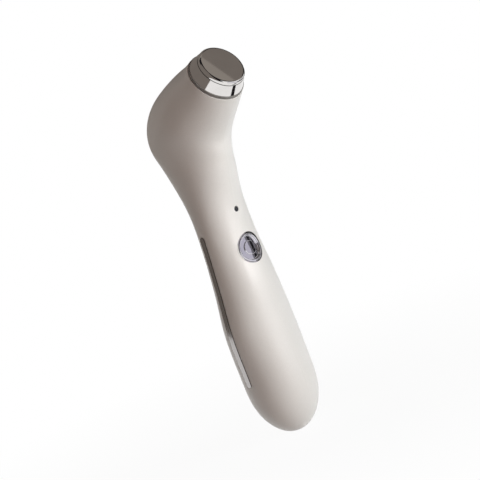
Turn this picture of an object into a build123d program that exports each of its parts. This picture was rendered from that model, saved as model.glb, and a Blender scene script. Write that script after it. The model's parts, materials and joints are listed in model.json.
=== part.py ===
"""Cooling facial massager: a handle whose bent head carries a cooled, polished metal cap.

The handle stands along +Z with the charging socket at the origin, the button faces -Y,
and the head leans forward over the front. The object is symmetric about the YZ plane.
"""
from build123d import *
import os
from math import cos, hypot, radians, sin, sqrt

os.makedirs("parts", exist_ok=True)

# Casing sections, from the tail up: height, half width and half depth,
# and how far the section's centre lies behind (+) or before (-) the handle's axis
belly_height = 25.2
belly_half_width = 17.3
belly_half_depth = 16.3
grip_height = 52.0
grip_half_width = 18.0
grip_half_depth = 15.2
waist_height = 74.0
waist_half_width = 16.1
waist_half_depth = 13.6
waist_offset = -1.4
thumb_height = 93.0
thumb_half_width = 14.7
thumb_half_depth = 11.8
thumb_offset = -1.6
neck_height = 111.0
neck_half_width = 14.0
neck_half_depth = 12.2
neck_offset = -1.9
throat_height = 127.0
throat_half_width = 14.3
throat_half_depth = 16.5
throat_offset = -1.6
throat_lean = 6.0
nape_height = 142.0
nape_half_width = 15.3
nape_half_depth = 21.8
nape_offset = -0.3
nape_lean = 20.0
crown_height = 153.0
crown_half_width = 16.8
crown_half_depth = 19.8
crown_offset = -7.3
crown_lean = 38.0
collar_height = 167.3
collar_radius = 13.4
collar_offset = -31.2
head_lean = 57.0
tail_angles = (12.0, 31.0, 50.0, 70.0)
section_count = 18
quarter_pull = 4 / 3 * (sqrt(2) - 1)

# Casing
casing_wall = 2.0
seam_offset = 6.4
seam_top_height = 110.0
seam_slope = 40.0
seam_bend_radius = 8.0
seam_gap = 0.1
lip_height = 1.4
lip_clearance = 0.12
boss_radius = 1.8
boss_spacing = 17.2
boss_inset = 3.5
rib_thickness = 1.2
rib_heights = (26.0, 52.0)
collar_sleeve_length = 6.0
collar_sleeve_wall = 1.1

# Contact strips in the sides of the handle
strip_offset = 1.2
strip_width = 3.0
strip_depth = 0.9
strip_bottom = 28.0
strip_length = 73.0
strip_lean = 2.0
strip_proud = 0.3
strip_clearance = 0.08
stud_radius = 0.8
stud_reach = 1.5
stud_inset = 12.0

# Push button
button_height = 89.0
button_lean = 6.0
button_radius = 6.7
button_travel = 0.5
button_proud = 0.35
button_clearance = 0.15
button_flange = 1.3
button_flange_thickness = 0.9
flange_gap = 0.15
dish_rim = 1.0
dish_depth = 0.8
crown_disc_radius = 3.4
crown_disc_rise = 0.55
crown_disc_round = 0.3
button_round = 0.35
cap_thickness = 1.0
stem_radius = 1.6
stem_length = 1.2
bezel_width = 0.45
bezel_proud = 0.15

# Switch on the control board
switch_side = 6.0
switch_body_height = 3.5
plunger_radius = 1.7
plunger_height = 0.9
plunger_clearance = 0.05
plunger_sunk = 1.6
switch_corner = 0.4

# Control board, and the chassis deck behind it
board_half_width = 6.5
board_thickness = 1.2
board_below = 20.0
board_above = 26.5
board_corner = 0.8
deck_thickness = 1.4
deck_margin = 1.5
deck_half_width = 10.2
post_radius = 0.9
post_head_radius = 1.5
post_head_height = 0.6
post_inset = 2.2
fit_gap = 0.1

# Parts on the control board
chip_rise = -10.5
chip_side = 5.0
chip_height = 0.9
chip_chamfer = 0.15
component_rows = (6.5, 8.5, 22.0)
component_pitch = 2.4
component_count = 4
component_width = 0.8
component_length = 1.4
component_height = 0.7
coil_rise = 13.0
coil_side = 5.0
coil_height = 1.8
connector_places = ((-3.4, -15.2), (3.4, -15.2), (-4.6, 16.5), (4.6, 16.5))
connector_width = 3.2
connector_length = 3.0
connector_height = 1.8

# Indicator above the button
indicator_above_button = 18.8
pipe_radius = 1.3
pipe_recess = 0.25
pipe_clearance = 0.05
pipe_flange = 0.7
pipe_flange_thickness = 0.9
pipe_flange_drop = 0.4
lamp_side = 2.0
lamp_height = 0.9

# Battery cell and its cradle
battery_radius = 9.15
battery_bottom = 15.0
battery_below_button = 24.5
battery_gap = 0.3
battery_cap_radius = 3.2
battery_cap_height = 1.0
battery_edge_round = 0.6
crimp_drop = 3.0
crimp_width = 1.0
crimp_depth = 0.5
cradle_wall = 1.5
tab_thickness = 0.3
tab_width = 6.0

# Charging socket in the tail
socket_width = 8.94
socket_thickness = 3.2
socket_length = 7.3
socket_wall = 0.3
socket_inset = 0.3
socket_opening_clearance = 0.25
tongue_width = 6.6
tongue_thickness = 0.7
tongue_inset = 0.9
tail_board_half_width = 5.6
tail_board_thickness = 1.0
tail_board_bottom = 3.8
tongue_base = 1.6
rail_bottom = 5.5
rail_wall = 0.9
shelf_depth = 3.6
rail_half_width = 6.9
socket_window_margin = 0.4
charge_chip_side = 3.0
charge_chip_height = 0.9
charge_chip_gap = 0.8

# Vibration motor behind the deck
motor_radius = 3.5
motor_length = 14.0
motor_above_button = 6.0
motor_sleeve_wall = 0.8
motor_cap_thickness = 1.2
motor_shaft_radius = 0.5
motor_shaft_clearance = 0.04
motor_shaft_reach = 7.0
weight_radius = 2.8
weight_length = 4.5
weight_gap = 0.8
weight_hub_radius = 1.2
motor_bore_depth = 5.0
shaft_end_gap = 0.2
motor_sleeve_inset = 1.5
motor_clip_wall = 1.2

# Cooled cap on the collar, from the collar's rim outward
gasket_height = 1.4
gasket_inset = 0.35
ring_base_radius = 12.8
ring_top_radius = 11.2
ring_height = 5.2
ring_round = 0.2
ring_bore_radius = 10.2
skirt_clearance = 0.25
skirt_length = 4.5
skirt_chamfer = 0.4
seal_inset = 0.4
plate_gap = 0.25
plate_thickness = 1.6
plate_edge_round = 1.2
plate_inset = 0.15
spigot_radius = 10.0
spigot_length = 2.0

# Cooler module between the plate and the heat sink
module_side = 13.0
ceramic_thickness = 0.7
pellet_side = 1.0
pellet_height = 1.6
pellet_count = 5
pellet_pitch = 2.3
foam_gap = 0.2
cooler_screw_circle = 8.3
cooler_screw_radius = 0.8
cooler_screw_head_radius = 1.4
cooler_screw_head_height = 0.9
screw_clearance = 0.1
cooler_screw_bite = 1.2
slot_width = 0.5
slot_depth = 0.4
sensor_radius = 0.9
sensor_length = 2.2
sensor_round = 0.4
sink_radius = 9.8
sink_base = 3.0
fin_length = 13.0
fin_count = 6
fin_thickness = 0.9
fin_pitch = 2.2
fin_half_depth = 6.0

# Chassis screws
chassis_screw_radius = 0.8
chassis_screw_head_radius = 1.7
chassis_screw_head_height = 1.1
chassis_screw_length = 5.0


def leaning_plane(offset, height, lean):
    """Plane across the handle or the head: X sideways, normal leaning forward by the lean."""
    normal = (0, -sin(radians(lean)), cos(radians(lean)))
    return Plane(origin=(0, offset, height), x_dir=(1, 0, 0), z_dir=normal)


# Casing stations from the belly to the collar: offset, height, lean, half width, half depth
stations = (
    (0, belly_height, 0, belly_half_width, belly_half_depth),
    (0, grip_height, 0, grip_half_width, grip_half_depth),
    (waist_offset, waist_height, 0, waist_half_width, waist_half_depth),
    (thumb_offset, thumb_height, 0, thumb_half_width, thumb_half_depth),
    (neck_offset, neck_height, 0, neck_half_width, neck_half_depth),
    (throat_offset, throat_height, throat_lean, throat_half_width, throat_half_depth),
    (nape_offset, nape_height, nape_lean, nape_half_width, nape_half_depth),
    (crown_offset, crown_height, crown_lean, crown_half_width, crown_half_depth),
    (collar_offset, collar_height, head_lean, collar_radius, collar_radius),
)
places = [0.0]
for near, far in zip(stations, stations[1:]):
    places.append(places[-1] + hypot(far[0] - near[0], far[1] - near[1]))


def station_slope(index):
    """Rate of change of a station's values along the casing; the belly runs straight up."""
    if index == 0:
        return (0, 1, 0, 0, 0)
    before = index - 1
    after = min(index + 1, len(stations) - 1)
    run = places[after] - places[before]
    return tuple((far - near) / run for near, far in zip(stations[before], stations[after]))


def station_between(place):
    """Offset, height, lean, half width and half depth at a distance above the belly."""
    index = max(i for i in range(len(stations) - 1) if places[i] <= place)
    run = places[index + 1] - places[index]
    t = (place - places[index]) / run
    values = []
    slopes = zip(station_slope(index), station_slope(index + 1))
    for near, far, (leaving, arriving) in zip(stations[index], stations[index + 1], slopes):
        start = (2 * t**3 - 3 * t**2 + 1) * near + (t**3 - 2 * t**2 + t) * run * leaving
        end = (3 * t**2 - 2 * t**3) * far + (t**3 - t**2) * run * arriving
        values.append(start + end)
    return values


def casing_sections(inset):
    """Plane, half width and half depth of each section, drawn in by the inset."""
    sections = []
    for angle in tail_angles:
        share = cos(radians(angle)) / cos(radians(tail_angles[0]))
        height = belly_height - (belly_height - inset) * share
        half_width = (belly_half_width - inset) * sin(radians(angle))
        half_depth = (belly_half_depth - inset) * sin(radians(angle))
        sections.append((leaning_plane(0, height, 0), half_width, half_depth))
    for step in range(section_count + 1):
        place = places[-1] * step / section_count
        centre, height, lean, half_width, half_depth = station_between(place)
        plane = leaning_plane(centre, height, lean)
        sections.append((plane, half_width - inset, half_depth - inset))
    return sections


def oval(half_width, half_depth):
    """Ellipse of four quarter curves that start at the same place in every section."""
    wide = half_width * quarter_pull
    deep = half_depth * quarter_pull
    Bezier((half_width, 0), (half_width, deep), (wide, half_depth), (0, half_depth))
    Bezier((0, half_depth), (-wide, half_depth), (-half_width, deep), (-half_width, 0))
    Bezier((-half_width, 0), (-half_width, -deep), (-wide, -half_depth), (0, -half_depth))
    Bezier((0, -half_depth), (wide, -half_depth), (half_width, -deep), (half_width, 0))


def casing_form(inset):
    """Solid inside the casing's surface drawn in by the inset, or let out if it is negative."""
    with BuildPart() as form:
        for plane, half_width, half_depth in casing_sections(inset):
            with BuildSketch(plane):
                with BuildLine():
                    oval(half_width, half_depth)
                make_face()
        loft()
    return form.part


def surface_offset(form, height, side):
    """The y of a form's surface at a height, on its front (side -1) or its back (side +1)."""
    ray = Axis((0, 0, height), (0, side, 0))
    hits = [hit for face in form.faces() for hit, normal in face.find_intersection_points(ray)]
    return side * max(side * hit.Y for hit in hits)


def lengthwise(plane):
    """Plane through another plane's axis: X stays and Y runs along the axis, for revolves."""
    return Plane(origin=plane.origin, x_dir=plane.x_dir, z_dir=plane.x_dir.cross(plane.z_dir))


outer_form = casing_form(0)
cavity_form = casing_form(casing_wall)
middle_form = casing_form(casing_wall / 2)
span = 2 * (belly_half_width + belly_half_depth)

# Reference planes: the button's, facing out of the casing's front, and the head's at the collar
button_seat = surface_offset(outer_form, button_height, -1)
button_plane = Plane(
    origin=(0, button_seat, button_height),
    x_dir=(1, 0, 0),
    z_dir=(0, -cos(radians(button_lean)), sin(radians(button_lean))),
)
head_plane = leaning_plane(collar_offset, collar_height, head_lean)

# Depths behind the button's seat
switch_depth = dish_depth + cap_thickness + stem_length + fit_gap + plunger_height
board_depth = switch_depth + switch_body_height
deck_depth = board_depth + board_thickness
deck_back_depth = deck_depth + deck_thickness
motor_depth = deck_back_depth + fit_gap + motor_sleeve_wall + motor_radius
bezel_radius = button_radius + button_clearance + bezel_width

stem_end = dish_depth + cap_thickness + stem_length

# Places along the board, measured up from the button
board_bottom = -board_below
board_top = board_above
boss_places = [
    (across, rise)
    for rise in (board_bottom + boss_inset, board_top - boss_inset)
    for across in (-boss_spacing / 2, boss_spacing / 2)
]
post_places = [(0, board_bottom + post_inset), (0, board_top - post_inset)]
indicator_height = button_height + indicator_above_button
indicator_seat = surface_offset(outer_form, indicator_height, -1)
indicator_plane = Plane(
    origin=(0, indicator_seat, indicator_height),
    x_dir=(1, 0, 0),
    z_dir=button_plane.z_dir,
)
indicator_rise = button_plane.to_local_coords(indicator_plane.origin).Y
lamp_front = button_plane.to_local_coords(indicator_plane.origin).Z + board_depth - lamp_height

# The motor lies along the handle behind the deck
motor_plane = Plane(
    origin=button_plane.from_local_coords((0, motor_above_button, -motor_depth)),
    x_dir=(1, 0, 0),
    z_dir=button_plane.y_dir,
)
motor_clip_half_width = motor_radius + motor_sleeve_wall + fit_gap + motor_clip_wall
motor_clip_depth = motor_depth - deck_depth - deck_thickness / 2

# The cell lies against the casing's back, clear of it at both ends
battery_top = button_height - battery_below_button
battery_length = battery_top - battery_bottom
cradle_bottom = battery_bottom - tab_thickness - fit_gap - cradle_wall
cradle_top = battery_top + tab_thickness + fit_gap + cradle_wall
cradle_bore = battery_radius + battery_gap
battery_seat = min(
    surface_offset(cavity_form, cradle_bottom, 1),
    surface_offset(cavity_form, cradle_top, 1),
)
battery_offset = battery_seat - cradle_bore
deck_top = board_top + deck_margin
deck_drop = deck_back_depth * sin(radians(button_lean))
deck_bottom = (cradle_top - cradle_wall / 2 + deck_drop - button_height) / cos(radians(button_lean))
tail_board_offset = socket_thickness / 2
socket_window = socket_width / 2 + socket_window_margin

# The cap ring's skirt plugs into the collar; heights are above the collar's rim
skirt_radius = collar_radius - casing_wall - skirt_clearance
ring_top = gasket_height + ring_height
plate_back = ring_top + plate_gap
spigot_end = plate_back - spigot_length
pellet_base = spigot_end - ceramic_thickness - pellet_height
sink_face = pellet_base - ceramic_thickness

# Region of the rear cover, seen from the side
seam_turn = (seam_offset, seam_top_height)
seam_back = (seam_offset + span, seam_top_height + span * sin(radians(seam_slope)))
with BuildSketch(Plane.YZ) as rear_region:
    with BuildLine():
        FilletPolyline((seam_offset, -span), seam_turn, seam_back, radius=seam_bend_radius)
        Polyline(seam_back, (seam_offset + span, -span), (seam_offset, -span))
    make_face()
with BuildSketch(Plane.YZ) as cover_region:
    add(rear_region.sketch_local)
    offset(amount=-seam_gap)
with BuildSketch(Plane.YZ) as lip_region:
    add(rear_region.sketch_local)
    offset(amount=lip_height)
with BuildSketch(Plane.YZ) as groove_region:
    add(rear_region.sketch_local)
    offset(amount=lip_height + lip_clearance)

strip_middle = strip_bottom + strip_length / 2
with BuildSketch(Plane.YZ) as strip_outline:
    with Locations((strip_offset, strip_middle)):
        SlotOverall(strip_length, strip_width, rotation=90 + strip_lean)
with BuildSketch(Plane.YZ) as strip_slot:
    add(strip_outline.sketch_local)
    offset(amount=strip_clearance)
stud_places = [
    (strip_offset - along * sin(radians(strip_lean)), strip_middle + along * cos(radians(strip_lean)))
    for along in (stud_inset - strip_length / 2, strip_length / 2 - stud_inset)
]

# Front shell: the handle's front, the neck and the whole head with its collar
lip_outer_form = casing_form(casing_wall / 2 - lip_clearance)
groove_floor_form = casing_form(strip_depth + strip_clearance)
with BuildPart() as front_shell:
    add(outer_form)
    add(cavity_form, mode=Mode.SUBTRACT)
    with BuildSketch(head_plane):
        Circle(collar_radius - casing_wall + collar_sleeve_wall)
    extrude(amount=-collar_sleeve_length)
    with BuildSketch(head_plane):
        Circle(collar_radius - casing_wall)
    extrude(amount=-collar_sleeve_length, mode=Mode.SUBTRACT)
    extrude(rear_region.sketch, amount=span, both=True, mode=Mode.SUBTRACT)
with BuildPart() as groove:
    extrude(groove_region.sketch, amount=span, both=True)
    add(lip_outer_form, mode=Mode.INTERSECT)
with BuildPart() as bosses:
    with BuildSketch(button_plane.offset(-deck_depth)):
        with Locations(*boss_places):
            Circle(boss_radius)
    extrude(amount=deck_depth + boss_radius)
    add(middle_form, mode=Mode.INTERSECT)
with BuildPart() as strip_grooves:
    extrude(strip_slot.sketch, amount=span, both=True)
    add(groove_floor_form, mode=Mode.SUBTRACT)
    with BuildSketch(Plane.YZ):
        with Locations(*stud_places):
            Circle(stud_radius + strip_clearance)
    extrude(amount=span, both=True)
with BuildPart() as button_bore:
    with BuildSketch(button_plane.offset(-deck_depth)):
        Circle(bezel_radius)
    extrude(amount=2 * deck_depth)
with BuildPart() as pipe_bore:
    with BuildSketch(button_plane.offset(-deck_depth)):
        with Locations((0, indicator_rise)):
            Circle(pipe_radius + pipe_clearance)
    extrude(amount=2 * deck_depth)
with BuildPart() as socket_bore:
    with BuildSketch(Plane.XY.offset(-casing_wall)):
        SlotOverall(
            socket_width + 2 * socket_opening_clearance,
            socket_thickness + 2 * socket_opening_clearance,
        )
    extrude(amount=4 * casing_wall)
with BuildPart() as boss_holes:
    with BuildSketch(button_plane.offset(-deck_depth)):
        with Locations(*boss_places):
            Circle(chassis_screw_radius)
    extrude(amount=chassis_screw_length - deck_thickness + fit_gap)
with front_shell:
    add(groove.part, mode=Mode.SUBTRACT)
    add(bosses.part)
    add(boss_holes.part, mode=Mode.SUBTRACT)
    add(strip_grooves.part, mode=Mode.SUBTRACT)
    add(button_bore.part, mode=Mode.SUBTRACT)
    add(pipe_bore.part, mode=Mode.SUBTRACT)
    add(socket_bore.part, mode=Mode.SUBTRACT)
front_shell.part.label = "front_shell"
export_step(front_shell.part, "parts/front_shell.step")

# Rear cover: the handle's back, with a lip that enters the front shell and ribs beside the cell
with BuildSketch(Plane.YZ) as beside_lip_region:
    add(lip_region.sketch_local)
    add(cover_region.sketch_local, mode=Mode.SUBTRACT)
with BuildPart() as beside_lip:
    extrude(beside_lip_region.sketch, amount=span, both=True)
    add(middle_form, mode=Mode.SUBTRACT)
with BuildPart() as cover_ribs:
    for height in rib_heights:
        with BuildSketch(Plane.XY.offset(height)):
            with Locations((0, seam_offset + span / 2)):
                Rectangle(2 * span, span)
        extrude(amount=rib_thickness)
    add(middle_form, mode=Mode.INTERSECT)
    with BuildSketch(Plane.XY):
        with Locations((0, battery_offset)):
            Circle(cradle_bore)
    extrude(amount=span * 3, mode=Mode.SUBTRACT)
with BuildPart() as rear_cover:
    add(outer_form)
    add(cavity_form, mode=Mode.SUBTRACT)
    extrude(lip_region.sketch, amount=span, both=True, mode=Mode.INTERSECT)
    add(beside_lip.part, mode=Mode.SUBTRACT)
    add(cover_ribs.part)
rear_cover.part.label = "rear_cover"
export_step(rear_cover.part, "parts/rear_cover.step")

# Contact strips: slim bars that follow the casing, each held by two studs through the wall
strip_face_form = casing_form(-strip_proud)
stud_end = casing_form(casing_wall + stud_reach)
for name, side in (("left_contact_strip", -1), ("right_contact_strip", 1)):
    with BuildPart() as studs:
        with BuildSketch(Plane.YZ):
            with Locations(*stud_places):
                Circle(stud_radius)
        extrude(amount=side * span)
        add(groove_floor_form, mode=Mode.INTERSECT)
        add(stud_end, mode=Mode.SUBTRACT)
    with BuildPart() as contact_strip:
        extrude(strip_outline.sketch, amount=side * span)
        add(strip_face_form, mode=Mode.INTERSECT)
        add(groove_floor_form, mode=Mode.SUBTRACT)
        add(studs.part)
    contact_strip.part.label = name
    export_step(contact_strip.part, f"parts/{name}.step")

# Gasket between the collar and the metal cap
with BuildPart() as collar_gasket:
    with BuildSketch(head_plane):
        Circle(collar_radius - gasket_inset)
        Circle(skirt_radius + fit_gap, mode=Mode.SUBTRACT)
    extrude(amount=gasket_height)
collar_gasket.part.label = "collar_gasket"
export_step(collar_gasket.part, "parts/collar_gasket.step")

# Cap ring: a metal cone on the gasket, with a skirt that plugs into the collar
with BuildPart() as cap_ring:
    with BuildSketch(lengthwise(head_plane)):
        with BuildLine():
            Polyline(
                (ring_bore_radius, -skirt_length),
                (skirt_radius - skirt_chamfer, -skirt_length),
                (skirt_radius, -skirt_length + skirt_chamfer),
                (skirt_radius, gasket_height),
                (ring_base_radius, gasket_height),
                (ring_top_radius, ring_top),
                (ring_bore_radius, ring_top),
                close=True,
            )
        make_face()
    revolve(axis=Axis(head_plane.origin, head_plane.z_dir))
    fillet(cap_ring.edges().filter_by(GeomType.CIRCLE).sort_by(SortBy.RADIUS)[-1], ring_round)
cap_ring.part.label = "cap_ring"
export_step(cap_ring.part, "parts/cap_ring.step")

# Dark seal between the cap ring and the plate
with BuildPart() as plate_seal:
    with BuildSketch(head_plane.offset(ring_top)):
        Circle(ring_top_radius - seal_inset)
        Circle(ring_bore_radius, mode=Mode.SUBTRACT)
    extrude(amount=plate_gap)
plate_seal.part.label = "plate_seal"
export_step(plate_seal.part, "parts/plate_seal.step")

# Cold plate: polished disc with a rounded rim and a spigot down to the cooler
with BuildPart() as cold_plate:
    with BuildSketch(head_plane.offset(plate_back)):
        Circle(ring_top_radius - plate_inset)
    extrude(amount=plate_thickness)
    fillet(cold_plate.edges().sort_by(Axis(head_plane.origin, head_plane.z_dir))[-1], plate_edge_round)
    with BuildSketch(head_plane.offset(plate_back)):
        Circle(spigot_radius)
    extrude(amount=-spigot_length)
    with BuildSketch(head_plane.offset(spigot_end)):
        with PolarLocations(cooler_screw_circle, 3, start_angle=90, angular_range=270):
            Circle(cooler_screw_radius)
    extrude(amount=cooler_screw_bite, mode=Mode.SUBTRACT)
cold_plate.part.label = "cold_plate"
export_step(cold_plate.part, "parts/cold_plate.step")

# Cooler module: two ceramic tiles with a grid of pellets between them
with BuildPart() as cold_ceramic:
    with BuildSketch(head_plane.offset(spigot_end)):
        Rectangle(module_side, module_side)
    extrude(amount=-ceramic_thickness)
cold_ceramic.part.label = "cold_ceramic"
export_step(cold_ceramic.part, "parts/cold_ceramic.step")
with BuildPart() as cooler_pellets:
    with BuildSketch(head_plane.offset(pellet_base)):
        with GridLocations(pellet_pitch, pellet_pitch, pellet_count, pellet_count):
            Rectangle(pellet_side, pellet_side)
    extrude(amount=pellet_height)
cooler_pellets.part.label = "cooler_pellets"
export_step(cooler_pellets.part, "parts/cooler_pellets.step")
with BuildPart() as hot_ceramic:
    with BuildSketch(head_plane.offset(pellet_base)):
        Rectangle(module_side, module_side)
    extrude(amount=-ceramic_thickness)
hot_ceramic.part.label = "hot_ceramic"
export_step(hot_ceramic.part, "parts/hot_ceramic.step")

# Foam ring round the module, with holes for the screws and the sensor
with BuildPart() as foam_ring:
    with BuildSketch(head_plane.offset(sink_face)):
        Circle(ring_bore_radius - foam_gap)
        Rectangle(module_side + 2 * foam_gap, module_side + 2 * foam_gap, mode=Mode.SUBTRACT)
        with PolarLocations(cooler_screw_circle, 4):
            Circle(sensor_radius + screw_clearance, mode=Mode.SUBTRACT)
    extrude(amount=spigot_end - sink_face)
foam_ring.part.label = "foam_ring"
export_step(foam_ring.part, "parts/foam_ring.step")

# Temperature sensor: a bead against the back of the plate
with BuildPart() as temperature_sensor:
    with BuildSketch(head_plane.offset(spigot_end)):
        with Locations((cooler_screw_circle, 0)):
            Circle(sensor_radius)
    extrude(amount=-sensor_length)
    fillet(temperature_sensor.edges().sort_by(Axis(head_plane.origin, head_plane.z_dir))[0], sensor_round)
temperature_sensor.part.label = "temperature_sensor"
export_step(temperature_sensor.part, "parts/temperature_sensor.step")

# Heat sink: round base with straight fins that reach back into the head
with BuildPart() as heat_sink:
    with BuildSketch(head_plane.offset(sink_face)):
        Circle(sink_radius)
        with PolarLocations(cooler_screw_circle, 3, start_angle=90, angular_range=270):
            Circle(cooler_screw_radius + screw_clearance, mode=Mode.SUBTRACT)
    extrude(amount=-sink_base)
    with BuildSketch(head_plane.offset(sink_face - sink_base)):
        with GridLocations(fin_pitch, 0, fin_count, 1):
            Rectangle(fin_thickness, 2 * fin_half_depth)
    extrude(amount=-fin_length)
heat_sink.part.label = "heat_sink"
export_step(heat_sink.part, "parts/heat_sink.step")

# Screws that clamp the sink and the module to the plate
with BuildPart() as cooler_screws:
    with BuildSketch(head_plane.offset(sink_face - sink_base)):
        with PolarLocations(cooler_screw_circle, 3, start_angle=90, angular_range=270):
            Circle(cooler_screw_radius)
    extrude(amount=spigot_end - sink_face + sink_base + cooler_screw_bite - fit_gap)
    with BuildSketch(head_plane.offset(sink_face - sink_base)):
        with PolarLocations(cooler_screw_circle, 3, start_angle=90, angular_range=270):
            Circle(cooler_screw_head_radius)
    extrude(amount=-cooler_screw_head_height)
    with BuildSketch(head_plane.offset(sink_face - sink_base - cooler_screw_head_height)):
        with PolarLocations(cooler_screw_circle, 3, start_angle=90, angular_range=270):
            Rectangle(2 * cooler_screw_head_radius, slot_width)
    extrude(amount=slot_depth, mode=Mode.SUBTRACT)
cooler_screws.part.label = "cooler_screws"
export_step(cooler_screws.part, "parts/cooler_screws.step")

# Push button: a metal cap that follows the casing, with a stepped dish, a flange and a stem
def behind_form(radius, inset, inner_radius=0.0):
    """The part of a cylinder or ring about the button's axis that lies inside an inset form."""
    with BuildPart() as piece:
        with BuildSketch(button_plane.offset(-deck_depth)):
            Circle(radius)
            if inner_radius:
                Circle(inner_radius, mode=Mode.SUBTRACT)
        extrude(amount=2 * deck_depth)
        add(casing_form(inset), mode=Mode.INTERSECT)
    return piece.part


def before_form(radius, inset):
    """The part of a cylinder about the button's axis that lies outside an inset form."""
    with BuildPart() as piece:
        with BuildSketch(button_plane.offset(-deck_depth)):
            Circle(radius)
        extrude(amount=2 * deck_depth)
        add(casing_form(inset), mode=Mode.SUBTRACT)
    return piece.part


cap_back = casing_wall + flange_gap + button_flange_thickness
with BuildPart() as crown_disc:
    add(behind_form(crown_disc_radius, dish_depth - crown_disc_rise))
    fillet(crown_disc.edges().filter_by(GeomType.BSPLINE), crown_disc_round)
with BuildPart() as button_cap:
    add(behind_form(button_radius, -button_proud))
    fillet(button_cap.edges().filter_by(GeomType.BSPLINE), button_round)
    add(before_form(button_radius - dish_rim, dish_depth), mode=Mode.SUBTRACT)
    fillet(button_cap.edges(Select.LAST).filter_by(GeomType.BSPLINE), button_round)
    add(crown_disc.part)
    add(behind_form(button_radius + button_flange, casing_wall + flange_gap))
    add(behind_form(button_radius + 2 * button_flange, cap_back), mode=Mode.SUBTRACT)
    add(behind_form(button_radius - dish_rim, dish_depth + cap_thickness), mode=Mode.SUBTRACT)
    with BuildSketch(button_plane.offset(-stem_end)):
        Circle(stem_radius)
    extrude(amount=stem_end - dish_depth)
button_cap.part.label = "button_cap"
export_step(button_cap.part, "parts/button_cap.step")

# Bezel ring in the casing round the button
with BuildPart() as button_bezel:
    add(behind_form(bezel_radius, -bezel_proud, button_radius + button_clearance))
    add(cavity_form, mode=Mode.SUBTRACT)
button_bezel.part.label = "button_bezel"
export_step(button_bezel.part, "parts/button_bezel.step")

# Tact switch under the button's stem, and its plunger
with BuildPart() as tact_switch:
    with BuildSketch(button_plane.offset(-board_depth)):
        RectangleRounded(switch_side, switch_side, radius=switch_corner)
    extrude(amount=switch_body_height)
    with BuildSketch(button_plane.offset(-switch_depth)):
        Circle(plunger_radius + plunger_clearance)
    extrude(amount=-plunger_sunk - button_travel - fit_gap, mode=Mode.SUBTRACT)
tact_switch.part.label = "tact_switch"
export_step(tact_switch.part, "parts/tact_switch.step")
with BuildPart() as switch_plunger:
    with BuildSketch(button_plane.offset(-switch_depth - plunger_sunk)):
        Circle(plunger_radius)
    extrude(amount=plunger_sunk + plunger_height)
switch_plunger.part.label = "switch_plunger"
export_step(switch_plunger.part, "parts/switch_plunger.step")

# Indicator: a lamp on the board and a light pipe up to the casing's surface
with BuildPart() as indicator_lamp:
    with BuildSketch(button_plane.offset(-board_depth)):
        with Locations((0, indicator_rise)):
            Rectangle(lamp_side, lamp_side)
    extrude(amount=lamp_height)
indicator_lamp.part.label = "indicator_lamp"
export_step(indicator_lamp.part, "parts/indicator_lamp.step")
with BuildPart() as light_pipe:
    with BuildSketch(indicator_plane.offset(-pipe_recess)):
        Circle(pipe_radius)
    extrude(amount=pipe_recess + fit_gap - lamp_front)
    with BuildSketch(indicator_plane.offset(-casing_wall - pipe_flange_drop)):
        Circle(pipe_radius + pipe_flange)
    extrude(amount=-pipe_flange_thickness)
light_pipe.part.label = "light_pipe"
export_step(light_pipe.part, "parts/light_pipe.step")

# Control board between the bosses
with BuildPart() as control_board:
    with BuildSketch(button_plane.offset(-deck_depth)):
        with Locations((0, (board_bottom + board_top) / 2)):
            RectangleRounded(2 * board_half_width, board_top - board_bottom, radius=board_corner)
        with Locations(*post_places):
            Circle(post_radius + fit_gap, mode=Mode.SUBTRACT)
    extrude(amount=board_thickness)
control_board.part.label = "control_board"
export_step(control_board.part, "parts/control_board.step")
with BuildPart() as control_chip:
    with BuildSketch(button_plane.offset(-board_depth)):
        with Locations((0, chip_rise)):
            Rectangle(chip_side, chip_side)
    extrude(amount=chip_height)
    chamfer(control_chip.edges().group_by(Axis(button_plane.origin, button_plane.z_dir))[-1], chip_chamfer)
control_chip.part.label = "control_chip"
export_step(control_chip.part, "parts/control_chip.step")
with BuildPart() as board_components:
    for row_rise in component_rows:
        with BuildSketch(button_plane.offset(-board_depth)):
            with Locations((0, row_rise)):
                with GridLocations(component_pitch, 0, component_count, 1):
                    Rectangle(component_width, component_length)
        extrude(amount=component_height)
    with BuildSketch(button_plane.offset(-board_depth)):
        with Locations((0, coil_rise)):
            RectangleRounded(coil_side, coil_side, radius=board_corner)
    extrude(amount=coil_height)
board_components.part.label = "board_components"
export_step(board_components.part, "parts/board_components.step")
with BuildPart() as lead_connectors:
    for across, rise in connector_places:
        with BuildSketch(button_plane.offset(-board_depth)):
            with Locations((across, rise)):
                Rectangle(connector_width, connector_length)
        extrude(amount=connector_height)
lead_connectors.part.label = "lead_connectors"
export_step(lead_connectors.part, "parts/lead_connectors.step")

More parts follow.
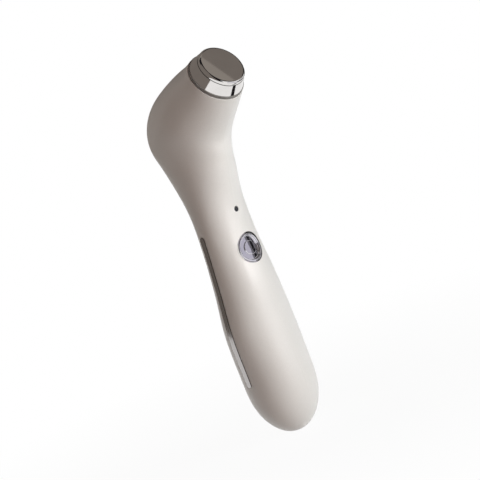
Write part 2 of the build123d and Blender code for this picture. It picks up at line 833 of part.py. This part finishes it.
# Chassis: deck behind the board, trough for the cell, motor cradle and rails for the tail board
with BuildPart() as chassis:
    with BuildSketch(button_plane.offset(-deck_back_depth)):
        with Locations((0, (deck_bottom + deck_top) / 2)):
            Rectangle(2 * deck_half_width, deck_top - deck_bottom)
    extrude(amount=deck_thickness)
    with BuildSketch(Plane.XY.offset(cradle_bottom)):
        with Locations((0, battery_offset)):
            Circle(cradle_bore + cradle_wall)
        with Locations((0, battery_offset + cradle_bore + cradle_wall)):
            Rectangle(4 * battery_radius, 2 * (cradle_bore + cradle_wall), mode=Mode.SUBTRACT)
    extrude(amount=cradle_top - cradle_bottom)
    with BuildSketch(Plane.XY.offset(cradle_bottom)):
        with Locations((0, tail_board_offset - shelf_depth / 2)):
            Rectangle(2 * rail_half_width, shelf_depth)
    extrude(amount=cradle_wall)
    with BuildSketch(Plane.XY.offset(cradle_bottom + cradle_wall)):
        with Locations((0, battery_offset)):
            Circle(cradle_bore)
    extrude(amount=cradle_top - cradle_bottom - 2 * cradle_wall, mode=Mode.SUBTRACT)
    with BuildSketch(Plane.XY.offset(rail_bottom)):
        with Locations((0, tail_board_offset + tail_board_thickness / 2)):
            Rectangle(2 * rail_half_width, tail_board_thickness + 2 * rail_wall)
            Rectangle(2 * socket_window, tail_board_thickness + 3 * rail_wall, mode=Mode.SUBTRACT)
            Rectangle(
                2 * (tail_board_half_width + fit_gap),
                tail_board_thickness + 2 * fit_gap,
                mode=Mode.SUBTRACT,
            )
    extrude(amount=cradle_bottom - rail_bottom)
    with BuildSketch(motor_plane.offset(motor_sleeve_inset)):
        with Locations((0, -motor_clip_depth / 2)):
            Rectangle(2 * motor_clip_half_width, motor_clip_depth)
        Circle(motor_radius + motor_sleeve_wall + fit_gap, mode=Mode.SUBTRACT)
    extrude(amount=motor_length - 2 * motor_sleeve_inset)
    with BuildSketch(button_plane.offset(-deck_depth)):
        with Locations(*post_places):
            Circle(post_radius)
    extrude(amount=board_thickness)
    with BuildSketch(button_plane.offset(-board_depth)):
        with Locations(*post_places):
            Circle(post_head_radius)
    extrude(amount=post_head_height)
    with BuildSketch(button_plane.offset(-deck_depth)):
        with Locations(*boss_places):
            Circle(chassis_screw_radius + screw_clearance)
    extrude(amount=-deck_thickness, mode=Mode.SUBTRACT)
chassis.part.label = "chassis"
export_step(chassis.part, "parts/chassis.step")

# Screws from the chassis into the front shell's bosses
with BuildPart() as chassis_screws:
    with BuildSketch(button_plane.offset(-deck_back_depth)):
        with Locations(*boss_places):
            Circle(chassis_screw_radius)
    extrude(amount=chassis_screw_length)
    with BuildSketch(button_plane.offset(-deck_back_depth)):
        with Locations(*boss_places):
            Circle(chassis_screw_head_radius)
    extrude(amount=-chassis_screw_head_height)
    with BuildSketch(button_plane.offset(-deck_back_depth - chassis_screw_head_height)):
        with Locations(*boss_places):
            Rectangle(2 * chassis_screw_head_radius, slot_width)
    extrude(amount=slot_depth, mode=Mode.SUBTRACT)
chassis_screws.part.label = "chassis_screws"
export_step(chassis_screws.part, "parts/chassis_screws.step")

# Battery cell with its positive cap and a crimp below it, and a tab on each end
with BuildPart() as battery_cell:
    with BuildSketch(Plane.XY.offset(battery_bottom)):
        with Locations((0, battery_offset)):
            Circle(battery_radius)
    extrude(amount=battery_length - battery_cap_height)
    fillet(battery_cell.edges().filter_by(GeomType.CIRCLE), battery_edge_round)
    with BuildSketch(Plane.XY.offset(battery_top - battery_cap_height - crimp_drop)):
        with Locations((0, battery_offset)):
            Circle(battery_radius)
            Circle(battery_radius - crimp_depth, mode=Mode.SUBTRACT)
    extrude(amount=crimp_width, mode=Mode.SUBTRACT)
    with BuildSketch(Plane.XY.offset(battery_top - battery_cap_height)):
        with Locations((0, battery_offset)):
            Circle(battery_cap_radius)
    extrude(amount=battery_cap_height)
battery_cell.part.label = "battery_cell"
export_step(battery_cell.part, "parts/battery_cell.step")
with BuildPart() as battery_tabs:
    for base in (battery_bottom - tab_thickness, battery_top):
        with BuildSketch(Plane.XY.offset(base)):
            with Locations((0, battery_offset)):
                Rectangle(tab_width, 2 * battery_radius - tab_width)
        extrude(amount=tab_thickness)
battery_tabs.part.label = "battery_tabs"
export_step(battery_tabs.part, "parts/battery_tabs.step")

# Charging socket: a steel sleeve round a tongue, soldered to the tail board
with BuildPart() as charging_socket:
    with BuildSketch(Plane.XY.offset(socket_inset)):
        SlotOverall(socket_width, socket_thickness)
        SlotOverall(
            socket_width - 2 * socket_wall,
            socket_thickness - 2 * socket_wall,
            mode=Mode.SUBTRACT,
        )
    extrude(amount=socket_length)
charging_socket.part.label = "charging_socket"
export_step(charging_socket.part, "parts/charging_socket.step")
with BuildPart() as socket_tongue:
    with BuildSketch(Plane.XY.offset(socket_inset + tongue_inset)):
        Rectangle(tongue_width, tongue_thickness)
    extrude(amount=socket_length - tongue_inset - tongue_base)
    with BuildSketch(Plane.XY.offset(socket_inset + socket_length - tongue_base)):
        SlotOverall(socket_width - 2 * socket_wall, socket_thickness - 2 * socket_wall)
    extrude(amount=tongue_base)
socket_tongue.part.label = "socket_tongue"
export_step(socket_tongue.part, "parts/socket_tongue.step")
with BuildPart() as tail_board:
    with BuildSketch(Plane.XY.offset(tail_board_bottom)):
        with Locations((0, tail_board_offset + tail_board_thickness / 2)):
            Rectangle(2 * tail_board_half_width, tail_board_thickness)
    extrude(amount=cradle_bottom - fit_gap - tail_board_bottom)
tail_board.part.label = "tail_board"
export_step(tail_board.part, "parts/tail_board.step")
with BuildPart() as charge_chip:
    with BuildSketch(Plane.XY.offset(socket_inset + socket_length + charge_chip_gap)):
        with Locations((0, tail_board_offset - charge_chip_height / 2)):
            Rectangle(charge_chip_side, charge_chip_height)
    extrude(amount=charge_chip_side)
charge_chip.part.label = "charge_chip"
export_step(charge_chip.part, "parts/charge_chip.step")

# Vibration motor along the handle: can, end cap, rubber sleeve, shaft and eccentric weight
with BuildPart() as motor_can:
    with BuildSketch(motor_plane):
        Circle(motor_radius)
    extrude(amount=motor_length)
    with BuildSketch(motor_plane.offset(motor_length - motor_bore_depth)):
        Circle(motor_shaft_radius + motor_shaft_clearance)
    extrude(amount=motor_bore_depth, mode=Mode.SUBTRACT)
motor_can.part.label = "motor_can"
export_step(motor_can.part, "parts/motor_can.step")
with BuildPart() as motor_end_cap:
    with BuildSketch(motor_plane):
        Circle(motor_radius - fit_gap)
    extrude(amount=-motor_cap_thickness)
motor_end_cap.part.label = "motor_end_cap"
export_step(motor_end_cap.part, "parts/motor_end_cap.step")
with BuildPart() as motor_sleeve:
    with BuildSketch(motor_plane.offset(motor_sleeve_inset)):
        Circle(motor_radius + motor_sleeve_wall)
        Circle(motor_radius, mode=Mode.SUBTRACT)
    extrude(amount=motor_length - 2 * motor_sleeve_inset)
motor_sleeve.part.label = "motor_sleeve"
export_step(motor_sleeve.part, "parts/motor_sleeve.step")
with BuildPart() as motor_shaft:
    with BuildSketch(motor_plane.offset(motor_length - motor_bore_depth + shaft_end_gap)):
        Circle(motor_shaft_radius)
    extrude(amount=motor_bore_depth - shaft_end_gap + motor_shaft_reach)
motor_shaft.part.label = "motor_shaft"
export_step(motor_shaft.part, "parts/motor_shaft.step")
with BuildPart() as eccentric_weight:
    with BuildSketch(motor_plane.offset(motor_length + weight_gap)):
        Circle(weight_radius)
        with Locations((0, -weight_radius)):
            Rectangle(2 * weight_radius, 2 * weight_radius, mode=Mode.SUBTRACT)
        Circle(weight_hub_radius)
        Circle(motor_shaft_radius, mode=Mode.SUBTRACT)
    extrude(amount=weight_length)
eccentric_weight.part.label = "eccentric_weight"
export_step(eccentric_weight.part, "parts/eccentric_weight.step")
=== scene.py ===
"""Cooling facial massager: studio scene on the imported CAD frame, in metres."""
import json
from math import cos, radians, sin

import bpy
from mathutils import Matrix, Vector


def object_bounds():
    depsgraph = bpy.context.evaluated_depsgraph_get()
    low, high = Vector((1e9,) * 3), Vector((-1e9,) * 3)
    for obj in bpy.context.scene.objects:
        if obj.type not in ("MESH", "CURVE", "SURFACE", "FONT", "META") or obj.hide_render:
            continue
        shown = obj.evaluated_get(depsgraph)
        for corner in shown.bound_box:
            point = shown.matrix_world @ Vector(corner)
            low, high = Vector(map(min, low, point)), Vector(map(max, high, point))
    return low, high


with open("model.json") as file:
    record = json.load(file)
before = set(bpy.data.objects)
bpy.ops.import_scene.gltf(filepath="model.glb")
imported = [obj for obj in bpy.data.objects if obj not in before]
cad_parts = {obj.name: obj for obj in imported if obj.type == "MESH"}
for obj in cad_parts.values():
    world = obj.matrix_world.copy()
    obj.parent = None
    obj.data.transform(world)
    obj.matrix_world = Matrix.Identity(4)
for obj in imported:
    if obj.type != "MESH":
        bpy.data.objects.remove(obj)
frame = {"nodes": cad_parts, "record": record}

nodes = frame["nodes"]
cad_low, cad_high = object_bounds()
scene = bpy.context.scene
scene.view_settings.view_transform = "Standard"

# Camera: direction round the handle, tilt of the picture, distance and pinhole focal length,
# and the pixel at which a point on the handle's axis is seen
CAMERA_AZIMUTH = -43.0
CAMERA_ELEVATION = 8.0
CAMERA_ROLL = 21.0
CAMERA_DISTANCE = 0.9
SENSOR_WIDTH = 36.0
IMAGE_WIDTH = 480
FOCAL_PIXELS = 1956.5
BUTTON_HEIGHT_POINT = Vector((0.0, 0.0, 0.090))
BUTTON_HEIGHT_PIXEL = (230.2, 249.3)
CLIP_START = 0.01
CLIP_END = 20.0


def camera_axes():
    """Right, up and back of the camera in the row frame, with the roll applied."""
    azimuth = radians(CAMERA_AZIMUTH)
    elevation = radians(CAMERA_ELEVATION)
    roll = radians(CAMERA_ROLL)
    back = Vector((sin(azimuth) * cos(elevation), -cos(azimuth) * cos(elevation), sin(elevation)))
    level_right = Vector((cos(azimuth), sin(azimuth), 0.0))
    level_up = back.cross(level_right)
    right = cos(roll) * level_right - sin(roll) * level_up
    up = sin(roll) * level_right + cos(roll) * level_up
    return right, up, back


def make_camera():
    """Camera that shows the handle's middle at its pixel in the photograph."""
    right, up, back = camera_axes()
    metres_per_pixel = CAMERA_DISTANCE / FOCAL_PIXELS
    middle = IMAGE_WIDTH / 2
    across = (middle - BUTTON_HEIGHT_PIXEL[0]) * metres_per_pixel
    upward = (BUTTON_HEIGHT_PIXEL[1] - middle) * metres_per_pixel
    aim = BUTTON_HEIGHT_POINT + right * across + up * upward
    data = bpy.data.cameras.new("camera")
    data.sensor_width = SENSOR_WIDTH
    data.lens = FOCAL_PIXELS / IMAGE_WIDTH * SENSOR_WIDTH
    data.clip_start = CLIP_START
    data.clip_end = CLIP_END
    camera = bpy.data.objects.new("camera", data)
    camera.matrix_world = Matrix.Translation(aim + back * CAMERA_DISTANCE) @ Matrix(
        (right, up, back)
    ).transposed().to_4x4()
    scene.collection.objects.link(camera)
    scene.camera = camera


make_camera()


# Materials
NOISE_LOW = 0.3
NOISE_HIGH = 0.7


def tinted(color, factor):
    """The colour made lighter or darker by a factor."""
    return tuple(min(1.0, channel * factor) for channel in color)


class Shader:
    """A node material with a Principled shader and helpers that add procedural detail."""

    def __init__(self, name, color, roughness, metallic=0.0, coat=0.0, coat_roughness=0.1):
        self.material = bpy.data.materials.new(name)
        self.material.use_nodes = True
        self.tree = self.material.node_tree
        self.color = color
        self.surface = self.tree.nodes["Principled BSDF"]
        self.put("Base Color", (*color, 1.0))
        self.put("Roughness", roughness)
        self.put("Metallic", metallic)
        if coat:
            self.put("Coat Weight", coat)
            self.put("Coat Roughness", coat_roughness)
        self.coordinates = self.add("ShaderNodeTexCoord")
        self.position = self.coordinates.outputs["Object"]
        self.height = None

    def add(self, kind):
        return self.tree.nodes.new(kind)

    def link(self, output, target):
        self.tree.links.new(output, target)

    def put(self, socket, value):
        self.surface.inputs[socket].default_value = value

    def noise(self, scale, detail=2.0, stretch=(1.0, 1.0, 1.0)):
        """Noise over the object's own coordinates; the scale is per metre."""
        mapping = self.add("ShaderNodeMapping")
        mapping.inputs["Scale"].default_value = stretch
        self.link(self.position, mapping.inputs["Vector"])
        texture = self.add("ShaderNodeTexNoise")
        texture.inputs["Scale"].default_value = scale
        texture.inputs["Detail"].default_value = detail
        self.link(mapping.outputs["Vector"], texture.inputs["Vector"])
        return texture.outputs["Fac"]

    def cells(self, scale):
        """Random grey value per small cell."""
        texture = self.add("ShaderNodeTexVoronoi")
        texture.inputs["Scale"].default_value = scale
        self.link(self.position, texture.inputs["Vector"])
        grey = self.add("ShaderNodeSeparateColor")
        self.link(texture.outputs["Color"], grey.inputs["Color"])
        return grey.outputs["Red"]

    def mapped(self, value, start, end, low, high):
        """The value between start and end mapped to low and high."""
        span = self.add("ShaderNodeMapRange")
        span.inputs["From Min"].default_value = start
        span.inputs["From Max"].default_value = end
        span.inputs["To Min"].default_value = low
        span.inputs["To Max"].default_value = high
        self.link(value, span.inputs["Value"])
        return span.outputs["Result"]

    def spread(self, value, low, high):
        """The value's middle range mapped to low and high."""
        return self.mapped(value, NOISE_LOW, NOISE_HIGH, low, high)

    def mottle(self, value, darker, lighter):
        """Colour that drifts between a darker and a lighter tint of the base colour."""
        mix = self.add("ShaderNodeMix")
        mix.data_type = "RGBA"
        mix.inputs["A"].default_value = (*tinted(self.color, darker), 1.0)
        mix.inputs["B"].default_value = (*tinted(self.color, lighter), 1.0)
        self.link(self.spread(value, 0.0, 1.0), mix.inputs["Factor"])
        self.link(mix.outputs["Result"], self.surface.inputs["Base Color"])
        return self

    def paint_side_shade(self, color, steep, flat):
        """Paints shade in another colour where faces turn away from the X axis, down to none of it at the
        cosine flat.
        """
        plated = self.surface.inputs["Base Color"].links[0].from_socket
        axes = self.add("ShaderNodeSeparateXYZ")
        self.link(self.coordinates.outputs["Normal"], axes.inputs[0])
        cosine = self.add("ShaderNodeMath")
        cosine.operation = "ABSOLUTE"
        self.link(axes.outputs["X"], cosine.inputs[0])
        mix = self.add("ShaderNodeMix")
        mix.data_type = "RGBA"
        mix.inputs["A"].default_value = (*color, 1.0)
        self.link(plated, mix.inputs["B"])
        self.link(self.mapped(cosine.outputs[0], steep, flat, 0.0, 1.0), mix.inputs["Factor"])
        self.link(mix.outputs["Result"], self.surface.inputs["Base Color"])
        return self

    def polish(self, value, low, high):
        """Roughness that drifts between two values."""
        self.link(self.spread(value, low, high), self.surface.inputs["Roughness"])
        return self

    def relief(self, value, depth):
        """Fine surface relief, with its depth in metres."""
        bump = self.add("ShaderNodeBump")
        bump.inputs["Strength"].default_value = 1.0
        bump.inputs["Distance"].default_value = depth
        self.link(value, bump.inputs["Height"])
        if self.height is not None:
            self.link(self.height, bump.inputs["Normal"])
        self.height = bump.outputs["Normal"]
        self.link(self.height, self.surface.inputs["Normal"])
        return self


def pearl_casing():
    """Satin pearl plastic: fine mica flecks under a soft clear coat."""
    shader = Shader("pearl_casing", (0.80, 0.76, 0.735), 0.42, coat=0.25, coat_roughness=0.22)
    shader.mottle(shader.cells(4200.0), 0.985, 1.015)
    shader.polish(shader.noise(60.0), 0.38, 0.46)
    shader.relief(shader.noise(900.0), 0.000004)
    return shader.material


def polished_metal(name, color, roughness):
    """Plated metal, polished, with faint cloudiness and hair-fine scratches."""
    shader = Shader(name, color, roughness, metallic=1.0)
    shader.mottle(shader.noise(120.0), 0.97, 1.03)
    shader.polish(shader.noise(500.0, 4.0, (1.0, 1.0, 8.0)), roughness * 0.7, roughness * 1.5)
    return shader.material


def strip_metal():
    """Satin plating on faces that look sideways, with painted shade in near black on the side walls that
    meet the casing.
    """
    shader = Shader("strip_metal", (0.46, 0.44, 0.43), 0.16, metallic=1.0)
    shader.polish(shader.noise(500.0, 4.0, (1.0, 1.0, 8.0)), 0.11, 0.22)
    shader.mottle(shader.noise(120.0), 0.97, 1.03)
    # painted shade: near black on the strip's side walls, in place of the shade where they meet the
    # casing
    shader.paint_side_shade((0.03, 0.028, 0.027), 0.45, 0.75)
    return shader.material


def brushed_metal(name, color, roughness):
    """Drawn or stamped metal with streaks along Z."""
    shader = Shader(name, color, roughness, metallic=1.0)
    streaks = shader.noise(3000.0, 3.0, (1.0, 1.0, 0.04))
    shader.mottle(streaks, 0.9, 1.06)
    shader.polish(streaks, roughness * 0.8, roughness * 1.3)
    shader.relief(streaks, 0.000003)
    return shader.material


def moulded_plastic(name, color, roughness):
    """Moulded plastic with a fine spark-eroded texture."""
    shader = Shader(name, color, roughness)
    shader.mottle(shader.noise(150.0), 0.94, 1.05)
    shader.relief(shader.noise(2600.0), 0.00001)
    return shader.material


def elastomer(name, color):
    """Dull rubber or silicone with a little bloom."""
    shader = Shader(name, color, 0.7)
    shader.mottle(shader.noise(300.0), 0.85, 1.25)
    shader.relief(shader.noise(1800.0), 0.000012)
    return shader.material


def open_foam(name, color):
    """Foam with small cells."""
    shader = Shader(name, color, 0.95)
    cells = shader.cells(2400.0)
    shader.mottle(cells, 0.7, 1.3)
    shader.relief(cells, 0.00006)
    return shader.material


def solder_mask(name, color):
    """Circuit board lacquer with faint tracks beneath."""
    shader = Shader(name, color, 0.35, coat=0.4)
    shader.mottle(shader.noise(800.0, 1.0, (1.0, 1.0, 0.1)), 0.7, 1.3)
    shader.relief(shader.noise(700.0), 0.000008)
    return shader.material


def smoky_pipe():
    """Smoky light pipe, nearly black from outside."""
    shader = Shader("smoky_pipe", (0.045, 0.045, 0.05), 0.22)
    shader.mottle(shader.noise(900.0), 0.8, 1.2)
    return shader.material


MATERIALS = {
    "pearl_casing": pearl_casing(),
    "strip_metal": strip_metal(),
    "cap_metal": polished_metal("cap_metal", (0.78, 0.76, 0.745), 0.07),
    "plate_metal": polished_metal("plate_metal", (0.78, 0.76, 0.745), 0.02),
    "button_metal": polished_metal("button_metal", (0.74, 0.73, 0.77), 0.08),
    "dark_rubber": elastomer("dark_rubber", (0.045, 0.043, 0.045)),
    "clear_pipe": smoky_pipe(),
    "ceramic": moulded_plastic("ceramic", (0.82, 0.81, 0.78), 0.6),
    "pellet": brushed_metal("pellet", (0.28, 0.28, 0.30), 0.5),
    "foam": open_foam("foam", (0.08, 0.08, 0.085)),
    "sink_alloy": brushed_metal("sink_alloy", (0.70, 0.70, 0.71), 0.35),
    "screw_steel": brushed_metal("screw_steel", (0.56, 0.55, 0.54), 0.3),
    "switch_black": moulded_plastic("switch_black", (0.03, 0.03, 0.032), 0.5),
    "board_green": solder_mask("board_green", (0.02, 0.16, 0.07)),
    "part_body": moulded_plastic("part_body", (0.035, 0.035, 0.038), 0.55),
    "connector_cream": moulded_plastic("connector_cream", (0.78, 0.72, 0.56), 0.5),
    "lamp_body": moulded_plastic("lamp_body", (0.85, 0.83, 0.70), 0.25),
    "chassis_grey": moulded_plastic("chassis_grey", (0.16, 0.165, 0.17), 0.55),
    "cell_wrap": moulded_plastic("cell_wrap", (0.03, 0.10, 0.26), 0.3),
    "nickel": brushed_metal("nickel", (0.66, 0.63, 0.58), 0.28),
    "socket_steel": brushed_metal("socket_steel", (0.60, 0.60, 0.61), 0.25),
    "motor_steel": brushed_metal("motor_steel", (0.62, 0.61, 0.60), 0.22),
    "weight_brass": brushed_metal("weight_brass", (0.60, 0.48, 0.26), 0.3),
}
NODE_MATERIALS = {"collar_gasket": elastomer("gasket_rubber", (0.24, 0.225, 0.215))}
for entry in frame["record"]["subparts"]:
    mesh = nodes[entry["node"]].data
    mesh.materials.clear()
    mesh.materials.append(NODE_MATERIALS.get(entry["node"], MATERIALS[entry["material_slot"]]))


# Studio: white floor and surroundings, a large soft key from the right, two weak fills,
# a lamp for the casing's sheen, and cards that the metal mirrors
def lit_white(tree, plain_shader, share=None):
    """Mixes plain white into a shader for camera, glossy and transmission rays."""
    rays = tree.nodes.new("ShaderNodeLightPath")
    seen = rays.outputs["Is Camera Ray"]
    for other in ("Is Glossy Ray", "Is Transmission Ray"):
        either = tree.nodes.new("ShaderNodeMath")
        either.operation = "MAXIMUM"
        tree.links.new(seen, either.inputs[0])
        tree.links.new(rays.outputs[other], either.inputs[1])
        seen = either.outputs[0]
    part = tree.nodes.new("ShaderNodeMath")
    part.operation = "MULTIPLY"
    part.inputs[1].default_value = 1.0
    if share is not None:
        tree.links.new(share, part.inputs[1])
    tree.links.new(seen, part.inputs[0])
    mix = tree.nodes.new("ShaderNodeMixShader")
    tree.links.new(part.outputs[0], mix.inputs["Fac"])
    tree.links.new(plain_shader.outputs[0], mix.inputs[1])
    return mix


AMBIENT = 0.05
AMBIENT_COLOR = (1.0, 0.97, 0.94)
FLOOR_SIZE = 6.0
FLOOR_DROP = 0.0002
FLOOR_WHITE_SHARE = 0.95
FLOOR_FADE_START = 0.05
FLOOR_FADE_END = 0.25
PAPER_COLOR = (0.86, 0.86, 0.86)
PAPER_ROUGHNESS = 0.9
WHITE = (1.0, 1.0, 1.0)


def make_world():
    """World that lights weakly but is seen as white."""
    world = bpy.data.worlds.new("studio")
    scene.world = world
    world.use_nodes = True
    tree = world.node_tree
    ambient = tree.nodes["Background"]
    ambient.inputs["Color"].default_value = (*AMBIENT_COLOR, 1.0)
    ambient.inputs["Strength"].default_value = AMBIENT
    white = tree.nodes.new("ShaderNodeBackground")
    white.inputs["Color"].default_value = (*WHITE, 1.0)
    mix = lit_white(tree, ambient)
    tree.links.new(white.outputs[0], mix.inputs[2])
    tree.links.new(mix.outputs[0], tree.nodes["World Output"].inputs["Surface"])


def make_floor():
    """Pale floor under the tail, which keeps the object's shadow near it and fades to white."""
    half = FLOOR_SIZE / 2
    level = cad_low.z - FLOOR_DROP
    corners = [(-half, -half, level), (half, -half, level), (half, half, level), (-half, half, level)]
    mesh = bpy.data.meshes.new("floor")
    mesh.from_pydata(corners, [], [(0, 1, 2, 3)])
    floor = bpy.data.objects.new("floor", mesh)
    scene.collection.objects.link(floor)
    material = bpy.data.materials.new("floor_paper")
    material.use_nodes = True
    tree = material.node_tree
    paper = tree.nodes["Principled BSDF"]
    paper.inputs["Base Color"].default_value = (*PAPER_COLOR, 1.0)
    paper.inputs["Roughness"].default_value = PAPER_ROUGHNESS
    white = tree.nodes.new("ShaderNodeEmission")
    position = tree.nodes.new("ShaderNodeTexCoord")
    distance = tree.nodes.new("ShaderNodeVectorMath")
    distance.operation = "LENGTH"
    tree.links.new(position.outputs["Object"], distance.inputs[0])
    fade = tree.nodes.new("ShaderNodeMapRange")
    fade.inputs["From Min"].default_value = FLOOR_FADE_START
    fade.inputs["From Max"].default_value = FLOOR_FADE_END
    fade.inputs["To Min"].default_value = FLOOR_WHITE_SHARE
    fade.inputs["To Max"].default_value = 1.0
    tree.links.new(distance.outputs["Value"], fade.inputs["Value"])
    mix = lit_white(tree, paper, fade.outputs["Result"])
    tree.links.new(white.outputs[0], mix.inputs[2])
    tree.links.new(mix.outputs[0], tree.nodes["Material Output"].inputs["Surface"])
    mesh.materials.append(material)


MIDDLE = (cad_low + cad_high) / 2
CAMERA_AXES = Matrix(camera_axes()).transposed()


def soft_lamp(name, place, size, power, color):
    """Square area lamp at a place in camera directions, aimed at the object's middle."""
    position = MIDDLE + CAMERA_AXES @ Vector(place)
    data = bpy.data.lights.new(name, "AREA")
    data.size = size
    data.energy = power
    data.color = color
    lamp = bpy.data.objects.new(name, data)
    lamp.location = position
    lamp.rotation_mode = "QUATERNION"
    lamp.rotation_quaternion = (MIDDLE - position).to_track_quat("-Z", "Y")
    lamp.visible_glossy = False
    scene.collection.objects.link(lamp)
    return lamp


def card(name, corner, width, height, color):
    """Studio card that only reflections show: a corner and two edges in camera directions."""
    start = MIDDLE + CAMERA_AXES @ Vector(corner)
    across = CAMERA_AXES @ Vector(width)
    along = CAMERA_AXES @ Vector(height)
    corners = [start, start + across, start + across + along, start + along]
    mesh = bpy.data.meshes.new(name)
    mesh.from_pydata(corners, [], [(0, 1, 2, 3)])
    sheet = bpy.data.objects.new(name, mesh)
    scene.collection.objects.link(sheet)
    sheet.visible_camera = False
    sheet.visible_diffuse = False
    sheet.visible_shadow = False
    sheet.visible_transmission = False
    material = bpy.data.materials.new(name)
    material.use_nodes = True
    tree = material.node_tree
    tree.nodes.remove(tree.nodes["Principled BSDF"])
    glow = tree.nodes.new("ShaderNodeEmission")
    glow.inputs["Color"].default_value = (*color, 1.0)
    tree.links.new(glow.outputs[0], tree.nodes["Material Output"].inputs["Surface"])
    mesh.materials.append(material)


def casing_sheen():
    """Lamp that gives only the casing a reflection, so that the metal beside it stays as it is."""
    lamp = soft_lamp("casing_sheen", (0.245, 0.17, 0.215), 0.26, 2.1, WHITE)
    lamp.visible_glossy = True
    lamp.visible_diffuse = False
    lamp.visible_transmission = False
    casing = bpy.data.collections.new("casing")
    casing.objects.link(nodes["front_shell"])
    casing.objects.link(nodes["rear_cover"])
    lamp.light_linking.receiver_collection = casing


TOP_LEVEL = 0.5
BUTTON_SIDE = 0.3
BUTTON_CARD_LOW = -0.03
BUTTON_CARD_RISE = 0.2


def top_card(name, left, right, near, far, color):
    """Level card over the object, from near to far, for what the plate mirrors."""
    card(name, (left, TOP_LEVEL, near), (right - left, 0, 0), (0, 0, far - near), color)


def upright_card(name, left, right, bottom, top, depth, color):
    """Card that faces the camera, in front of the object or behind it."""
    card(name, (left, bottom, depth), (right - left, 0, 0), (0, top - bottom, 0), color)


def button_card(name, near, far, color):
    """Card to the right of the object, for what the button mirrors."""
    corner = (BUTTON_SIDE, BUTTON_CARD_LOW, near)
    card(name, corner, (0, 0, far - near), (0, BUTTON_CARD_RISE, 0), color)


make_world()
make_floor()
soft_lamp("key", (0.905, 0.34, 0.525), 0.6, 12.3, (0.90, 0.985, 1.0))
soft_lamp("front_fill", (0.25, 0.10, 1.05), 0.6, 2.5, (1.0, 0.74, 0.62))
soft_lamp("back_fill", (-0.85, 0.15, -0.55), 0.6, 2.9, (1.0, 0.93, 0.86))
casing_sheen()

TAUPE = (0.188, 0.165, 0.148)
LIGHT_TAUPE = (0.286, 0.257, 0.23)
LILAC = (0.58, 0.565, 0.64)
SMOKE = (0.17, 0.165, 0.18)
DARK = (0.05, 0.045, 0.048)
UMBER = (0.04, 0.037, 0.035)
BLACK = (0.012, 0.011, 0.012)

# Ring and strip, seen from the left
card("left_card", (-0.35, -0.7, 0.66), (0, 0, -1.3), (0, 1.6, 0), TAUPE)
# Plate: its dark lower lip, its face in two tones, and its dark rim
top_card("lip_card", 0.13, 0.45, 0.62, 0.02, BLACK)
top_card("lip_side_card", -0.6, 0.13, 0.62, 0.2, TAUPE)
top_card("lip_line_card", -0.6, 0.13, 0.2, 0.02, BLACK)
top_card("wedge_card", -0.6, 0.7, 0.02, -0.0318, LIGHT_TAUPE)
top_card("top_card", -0.6, 0.7, -0.0318, -0.05, TAUPE)
top_card("top_rear_card", -0.6, 0.02, -0.05, -0.72, TAUPE)
top_card("rim_card", 0.02, 0.7, -0.05, -0.72, UMBER)
upright_card("rear_left_card", -0.6, 0.02, -0.05, 0.49, -0.5, TAUPE)
upright_card("back_card", 0.02, 0.6, 0.1, 0.49, -0.5, UMBER)
upright_card("front_card", 0.13, 0.42, -0.45, 0.5, 0.62, BLACK)
upright_card("front_side_card", -0.34, 0.13, -0.45, 0.5, 0.62, TAUPE)
# Button: light on the left, a dark streak, dark on the right
button_card("button_light", 0.3, 0.045, LILAC)
button_card("button_smoke", 0.045, 0.0, SMOKE)
button_card("button_streak", 0.0, -0.05, BLACK)
button_card("button_edge", -0.05, -0.085, SMOKE)
button_card("button_dark", -0.085, -0.3, DARK)
# Ring: the dark streak near its right end, from a card just over the floor
RING_STREAK_CORNER = (0.1718, -0.0307, 0.0217)
RING_STREAK_WIDTH = (0.0179, 0.0144, -0.05)
RING_STREAK_LENGTH = (-0.0877, -0.0277, -0.0394)
card("ring_streak", RING_STREAK_CORNER, RING_STREAK_WIDTH, RING_STREAK_LENGTH, BLACK)
